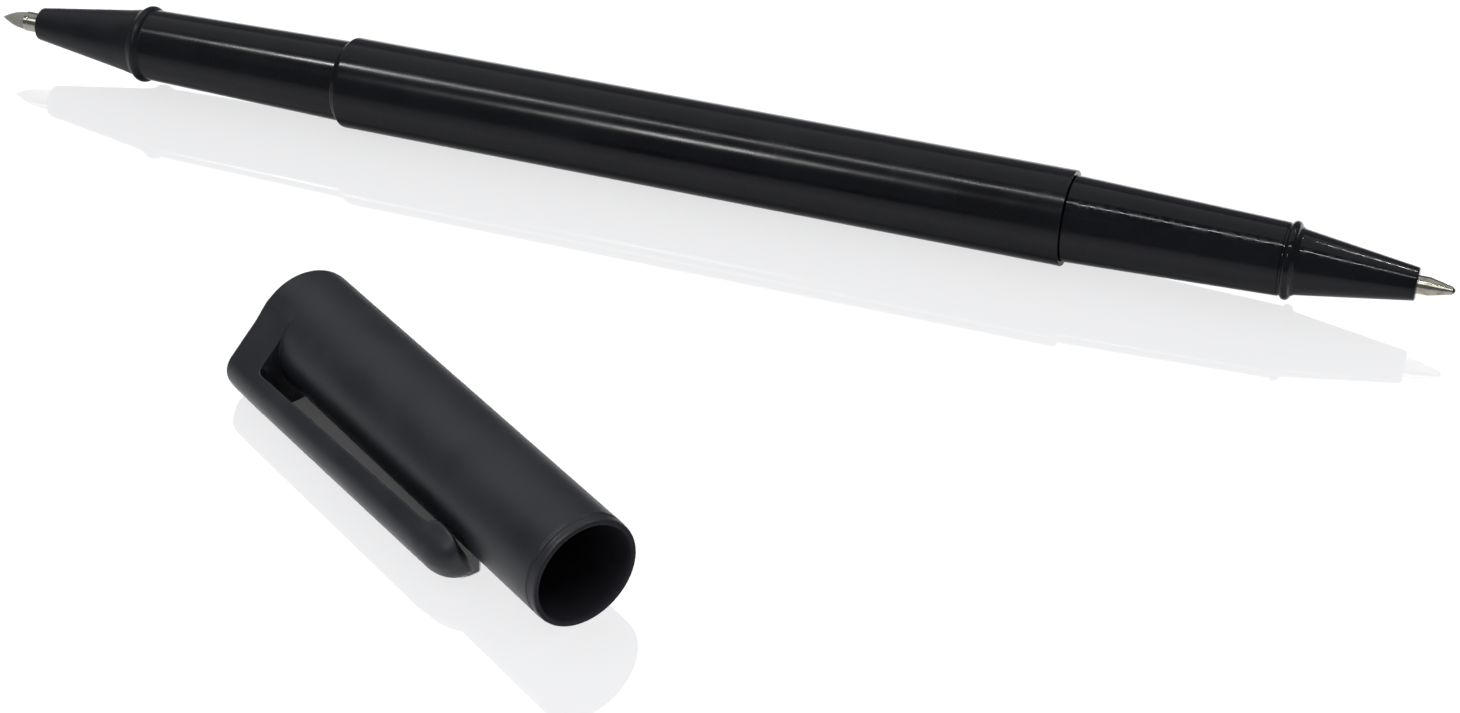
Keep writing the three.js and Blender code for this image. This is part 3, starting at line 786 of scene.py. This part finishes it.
tube_outline = eased([
    (REFILL["from"], REFILL["bore"] + 0.25),
    (REFILL["from"], REFILL["radius"], 0.08),
    (REFILL["to"], REFILL["radius"], 0.08),
    (REFILL["to"], REFILL["bore"], 0.08),
    (REFILL["from"], REFILL["bore"], 0.08),
    (REFILL["from"], REFILL["bore"] + 0.25),
])
fit(turn("refill_tube", tube_outline, CLEAR, segments=64), "ballpoint_unit", "clear_film", "refill_tube")


def slug(name, start, stop, radius, finish):
    """A plug of paste. Its front is slightly dished, and a thin rim stands proud of its rear."""
    rim = 0.05
    outline = [
        (start, 0),
        (start, radius),
        *arc(start, radius - rim, rim, 180, 90, 3),
        *arc(stop, radius - rim, rim, 90, 0, 3),
        (stop, 0),
    ]
    return turn(name, outline, finish, segments=64)


INK = {"radius": 1.0, "from": -20, "to": 21.8, "grease": 4}
ink = slug("ink_column", INK["from"], INK["to"], INK["radius"], INK_PASTE)
fit(ink, "ballpoint_unit", "black_ink", "ink_column")
grease_to = INK["from"] - 0.12
follower = slug("grease_follower", grease_to - INK["grease"], grease_to, INK["radius"], GREASE)
fit(follower, "ballpoint_unit", "grease", "grease_follower")

stopper_outline = eased([
    (REFILL["from"] - 1, 0.7),
    (REFILL["from"] - 1, REFILL["radius"] - 0.1, 0.2),
    (REFILL["from"] - 0.12, REFILL["radius"] - 0.1, 0.1),
    (REFILL["from"] - 0.12, BORE_FIT, 0.04),
    (REFILL["from"] + 3, BORE_FIT, 0.2),
    (REFILL["from"] + 3, 0.35, 0.1),
    (REFILL["from"] - 1, 0.35, 0.1),
    (REFILL["from"] - 1, 0.7),
])
stopper = turn("refill_tail_plug", stopper_outline, MILKY, segments=64)
fit(stopper, "ballpoint_unit", "milky_plastic", "refill_tail_plug")

# %% [markdown]
# ## The cap's shell
# The cap is a tube with a closed crown. On one side a solid web bridges from the tube out to the
# clip, so the section there is a teardrop: the round tube, two flat flanks that close towards the
# clip, and a full round nose. A lofted skin suits this. Every ring of the loft is one distance for
# each angle round the axis, and the distance is the larger of the tube and the teardrop.

# %% The teardrop section
CAP = {"length": 50.64, "radius": 5.7, "bore": 5.03, "crown": 1.2, "web": 4.82}
NOSE = {"at": 7.45, "half": 0.33, "radius": 2.48, "side": 5.56}
spread_of_nose = math.hypot(NOSE["at"], NOSE["half"])
nose_lean = math.atan2(NOSE["half"], NOSE["at"])
FLANK = math.asin((NOSE["side"] - NOSE["radius"]) / spread_of_nose) - nose_lean
CLIP_ROOT_INNER = 7.68


def teardrop(angles, inset):
    """Distance from the tube's axis to the teardrop, at angles measured from the clip's side."""
    inset = np.broadcast_to(inset, angles.shape)
    a = np.abs(angles)
    flank = (NOSE["side"] - inset) / np.sin(np.clip(a + FLANK, 0.3, math.pi / 2))
    lateral = NOSE["half"] * np.sin(a) + NOSE["at"] * np.cos(a)
    square = (NOSE["radius"] - inset) ** 2 - (spread_of_nose ** 2 - lateral ** 2)
    nose = lateral + np.sqrt(np.maximum(square, 0))
    on_flank = a > math.atan2(NOSE["half"] + NOSE["radius"] * math.cos(FLANK),
                              NOSE["at"] + NOSE["radius"] * math.sin(FLANK))
    flat = (NOSE["at"] + NOSE["radius"] - inset) / np.cos(np.minimum(a, 1.2))
    on_flat = a < math.atan2(NOSE["half"], NOSE["at"] + NOSE["radius"])
    beyond = np.maximum(a - (math.pi / 2 - FLANK), 0)
    reach = np.where(on_flat, flat, np.where(on_flank, flank, nose))
    return reach - 2.5 * beyond


def soft_larger(first, second, soft=0.5):
    """The larger of two distances, with a small hollow fillet where they cross."""
    near = np.maximum(soft - np.abs(first - second), 0) / soft
    return np.maximum(first, second) + near * near * soft / 4


# %% Loft helper
def loft(name, rings, finish, frame_matrix, start_pole=None, end_pole=None):
    """A closed skin over rings that all have the same number of points."""
    count = len(rings[0])
    points = [tuple(p) for ring in rings for p in ring]
    faces = []
    for k in range(len(rings) - 1):
        for i in range(count):
            j = (i + 1) % count
            faces.append((k * count + i, k * count + j, (k + 1) * count + j, (k + 1) * count + i))
    for pole, ring in ((start_pole, 0), (end_pole, len(rings) - 1)):
        points.append(tuple(pole))
        for i in range(count):
            faces.append((len(points) - 1, ring * count + i, ring * count + (i + 1) % count))
    mesh = bpy.data.meshes.new(name)
    mesh.from_pydata([frame_matrix @ (Vector(p) * MM) for p in points], [], faces)
    work = bmesh.new()
    work.from_mesh(mesh)
    bmesh.ops.remove_doubles(work, verts=work.verts, dist=WELD)
    bmesh.ops.dissolve_degenerate(work, edges=work.edges, dist=WELD / 4)
    bmesh.ops.recalc_face_normals(work, faces=work.faces)
    work.to_mesh(mesh)
    open_edges = sum(1 for edge in work.edges if len(edge.link_faces) != 2)
    work.free()
    mesh.polygons.foreach_set("use_smooth", [True] * len(mesh.polygons))
    mesh.materials.append(finish)
    piece = bpy.data.objects.new(name, mesh)
    bpy.context.scene.collection.objects.link(piece)
    print(f"{name}: {len(mesh.vertices)} points, {len(mesh.polygons)} faces, {open_edges} open edges")
    return piece


# %% Cap shell
share = np.linspace(-1, 1, 320, endpoint=False)
ANGLES = math.pi * (0.42 * share + 0.58 * share ** 3)
LIP = {"width": 1.1, "groove": 0.24, "depth": 0.12, "round": 0.4}


def ring_at(station, reach):
    """One ring of the shell, in the cap's own frame."""
    reach = np.broadcast_to(reach, ANGLES.shape)
    return np.column_stack((np.full_like(ANGLES, station), -reach * np.cos(ANGLES), reach * np.sin(ANGLES)))


def quarter_turn(count):
    """Angles from 0 to a right angle, for a rounded edge."""
    return [step * math.pi / 2 for step in np.linspace(0, 1, count)]


def shell_rings():
    """From the crown's inside along the bore, round the lip and past its groove."""
    bore, radius, length = CAP["bore"], CAP["radius"], CAP["length"]
    corner, flare, rim = 0.6, 0.02, 0.25
    rings = []
    for angle in quarter_turn(7):  # inner crown, rounded into the bore
        station = CAP["crown"] + corner * (1 - math.cos(angle))
        rings.append((station, bore - corner * (1 - math.sin(angle))))
    rings.append((length - 3.0, bore))
    rings.append((length - 0.32, bore + flare))
    inner = bore + rim
    outer = radius - 0.03
    middle = (inner + outer) / 2
    half = (outer - inner) / 2
    for angle in quarter_turn(6):  # the lip's inner edge
        station = length - rim + rim * math.sin(angle)
        rings.append((station, bore + flare + rim * (1 - math.cos(angle))))
    for angle in quarter_turn(6):  # the lip's outer edge
        station = length - LIP["round"] * (1 - math.cos(angle))
        rings.append((station, middle + half * math.sin(angle)))
    groove = length - LIP["width"]
    rings.append((groove + LIP["groove"] + 0.08, outer))
    for step in np.linspace(0, 1, 9):
        depth = LIP["depth"] * math.sin(step * math.pi)
        rings.append((groove + LIP["groove"] * (1 - 2 * step), radius - depth))
    rings.append((groove - LIP["groove"] - 0.1, radius))
    return [ring_at(station, reach) for station, reach in rings]


def web_rings():
    """From the tube's outside up the web's end wall and along the web to the crown."""
    radius, web = CAP["radius"], CAP["web"]
    rings = [ring_at(station, radius) for station in (CAP["length"] - 2, 30, 12, web + 0.6)]
    open_reach = teardrop(ANGLES, 0)
    hollow = 0.14
    for angle in quarter_turn(6):  # hollow fillet at the foot of the end wall
        rise = hollow * (1 - math.cos(angle))
        station = web + hollow * (1 - math.sin(angle))
        rings.append(ring_at(station, np.maximum(radius, np.minimum(open_reach, radius + rise))))
    free = np.clip((-CLIP_ROOT_INNER + 0.2 + open_reach * np.cos(ANGLES)) / -0.6, 0, 1)
    edge = 0.15
    for angle in quarter_turn(5):  # the wall's outer edge, rounded where no clip leaves it
        inset = edge * (1 - math.sin(angle)) * free
        station = web - edge * (1 - math.cos(angle))
        reach = soft_larger(np.full_like(ANGLES, radius), teardrop(ANGLES, inset))
        rings.append(ring_at(station, reach))
    rings.append(ring_at(web / 2, soft_larger(np.full_like(ANGLES, radius), open_reach)))
    crown_edge = 0.36
    for angle in quarter_turn(9):
        inset = crown_edge * (1 - math.cos(angle))
        station = crown_edge * (1 - math.sin(angle))
        reach = soft_larger(np.full_like(ANGLES, radius - inset), teardrop(ANGLES, inset))
        rings.append(ring_at(station, reach))
    rings.extend(ring_at(0, reach * scale) for scale in (0.97, 0.7, 0.35))
    return rings


shell = loft("cap_shell", shell_rings() + web_rings(), CAP_BLACK, CAP_FRAME, (CAP["crown"], 0, 0), (0, 0, 0))
# The bore and the lip take the painted shade finish, which keeps the mouth dark inside.
shell.data.materials.append(BORE_AND_LIP_PAINTED_SHADE)
to_cap = CAP_FRAME.inverted()
for face in shell.data.polygons:
    station, across, up = to_cap @ face.center / MM
    in_bore = math.hypot(across, up) < CAP["bore"] + 0.05 and station > CAP["crown"] / 2
    on_lip = station > CAP["length"] - 0.08
    face.material_index = int(in_bore or on_lip)
fit(shell, "cap", "cap_black", "cap_shell")

# %% [markdown]
# ## The clip
# The clip carries on from the web's nose as a springy bar. It is D-shaped: round outside and flat
# towards the tube. It leans in a little along its length, and near its rounded tip a pad swells
# towards the tube to grip a pocket. The real clip is moulded with the cap, so the piece here starts
# inside the web.

# %% Clip
CLIP = {"length": 39.9, "outer": (9.93, 9.52), "inner": (CLIP_ROOT_INNER, 6.97), "tip": 3.7, "pad": 6.05}
TUCK = 0.35
PAD = {"foot": 5.1, "full": 3.3, "ease": 2.4}  # stations counted back from the tip
TIP_LEVEL = 7.15  # where the rounded tip closes
TIP_POWER = 2 / 2.3


def clip_outer(x):
    return np.interp(x, (CAP["web"], CLIP["length"] - CLIP["tip"]), CLIP["outer"])


def clip_inner(x):
    plain = np.interp(x, (CAP["web"], CLIP["length"] - 4.9), CLIP["inner"])
    root = 0.7
    if x < CAP["web"] + root:
        near = min(1.0, (CAP["web"] + root - max(x, CAP["web"])) / root)
        plain -= root * (1 - math.sqrt(1 - near ** 2)) * 0.9
    return plain


def d_section(outer, inner, tuck):
    """Half-round bar section as (distance from the axis, sideways), starting at the outer middle."""
    radius = NOSE["radius"] - tuck
    shift = NOSE["at"] - (CLIP["outer"][0] - outer)
    turn_to = math.pi / 2 - FLANK
    side = []
    for angle in np.linspace(0, turn_to, 17):
        side.append((shift + radius * math.cos(angle), NOSE["half"] + radius * math.sin(angle)))
    touch = np.array(side[-1])
    slide = np.array((-math.cos(FLANK), math.sin(FLANK)))
    run = (touch[0] - inner) / math.cos(FLANK)
    corner = touch + slide * max(run, 0.02)
    ease = 0.28
    before = corner - slide * ease
    side.extend(tuple(touch + (before - touch) * k / 4) for k in range(1, 5))
    after = np.array((corner[0], corner[1] - ease))
    for k in range(1, 6):
        t = k / 5
        side.append(tuple((1 - t) ** 2 * before + 2 * t * (1 - t) * corner + t * t * after))
    side.extend((inner, after[1] * (1 - k / 6)) for k in range(1, 7))
    mirror = [(reach, -across) for reach, across in side[-2:0:-1]]
    return np.array(side + mirror)


def clip_ring(x, lower=None, upper=None, width=1.0, tuck=0.0):
    outer, inner = clip_outer(x), clip_inner(x)
    section = d_section(outer, inner, tuck)
    lower = inner if lower is None else lower
    upper = outer if upper is None else upper
    level = (section[:, 0] - inner) / (outer - inner)
    reach = lower + level * (upper - lower)
    return np.column_stack((np.full(len(reach), x), -reach, section[:, 1] * width))


def pad_inner(x, inner):
    """The clip's inner face where the pad swells from it, smoothly from foot to full height."""
    pad_from, pad_full = CLIP["length"] - PAD["foot"], CLIP["length"] - PAD["full"]
    rise = np.clip((min(x, pad_full) - pad_from) / (pad_full - pad_from), 0, 1)
    rise = rise * rise * (3 - 2 * rise)
    return inner + (CLIP["pad"] - inner) * rise


def clip_rings():
    web, end, tip = CAP["web"], CLIP["length"], CLIP["tip"]
    rings = [clip_ring(web - TUCK, tuck=0.06), clip_ring(web - 0.02, tuck=0.06)]
    stations = [web, *(web + np.array((0.06, 0.15, 0.28, 0.42, 0.56, 0.7, 0.9)))]
    stations.extend(np.linspace(web + 1.6, end - 5.3, 24))
    for x in stations:
        rings.append(clip_ring(x))
    centre = end - tip
    for x in np.linspace(end - PAD["foot"], centre, 8)[1:-1]:
        rings.append(clip_ring(x, lower=pad_inner(x, clip_inner(x))))
    for angle in np.radians(np.linspace(0, 88, 22)):
        x = centre + tip * math.sin(angle) ** TIP_POWER
        shrink = math.cos(angle) ** TIP_POWER
        pad_shrink = math.sqrt(1 - max(0.0, (x - (end - PAD["ease"])) / PAD["ease"]) ** 2)
        lower = TIP_LEVEL + (pad_inner(x, clip_inner(centre)) - TIP_LEVEL) * pad_shrink
        upper = TIP_LEVEL + (CLIP["outer"][1] - TIP_LEVEL) * shrink
        width = max(shrink ** 0.55, 0.02)
        rings.append(clip_ring(centre, lower, upper, width) + np.array((x - centre, 0, 0)))
    return rings


root_pole = (CAP["web"] - TUCK, -(clip_inner(0) + clip_outer(0)) / 2, 0)
tip_pole = (CLIP["length"], -TIP_LEVEL, 0)
clip = loft("cap_clip", clip_rings(), CAP_BLACK, CAP_FRAME, root_pole, tip_pole)
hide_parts("cap_clip")
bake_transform(clip)
casts_shadow.objects.link(clip)
for piece in (collar, point):
    only_metal.objects.link(piece)

# %% [markdown]
# ## The seal in the crown
# A soft cup sits in the cap's crown and closes round the nose, so the iodine fluid can't dry out.
# It is turned about the cap's axis, so it is made along x like the others and then laid into place.

# %% Inner seal
SEAL = {"outer": CAP["bore"] - 0.1, "length": 17, "wall": 0.9}
seal_from = CAP["crown"] + 0.12
seal_outline = eased([
    (seal_from, 0),
    (seal_from, SEAL["outer"] - 0.55, 0.1),
    (seal_from + 0.6, SEAL["outer"], 0.4),
    (seal_from + SEAL["length"], SEAL["outer"], 0.12),
    (seal_from + SEAL["length"], SEAL["outer"] - 0.5, 0.12),
    (seal_from + SEAL["length"] - 2, SEAL["outer"] - SEAL["wall"], 0.6),
    (seal_from + SEAL["wall"], SEAL["outer"] - SEAL["wall"], 0.5),
    (seal_from + SEAL["wall"], 0),
])
seal = turn("cap_inner_seal", seal_outline, SEAL_GREY, end=0.0, segments=96)
seal.data.transform(CAP_FRAME @ Matrix.Translation((0, -AXIS_Y, -AXIS_Z)))
fit(seal, "cap", "seal_grey", "cap_inner_seal")
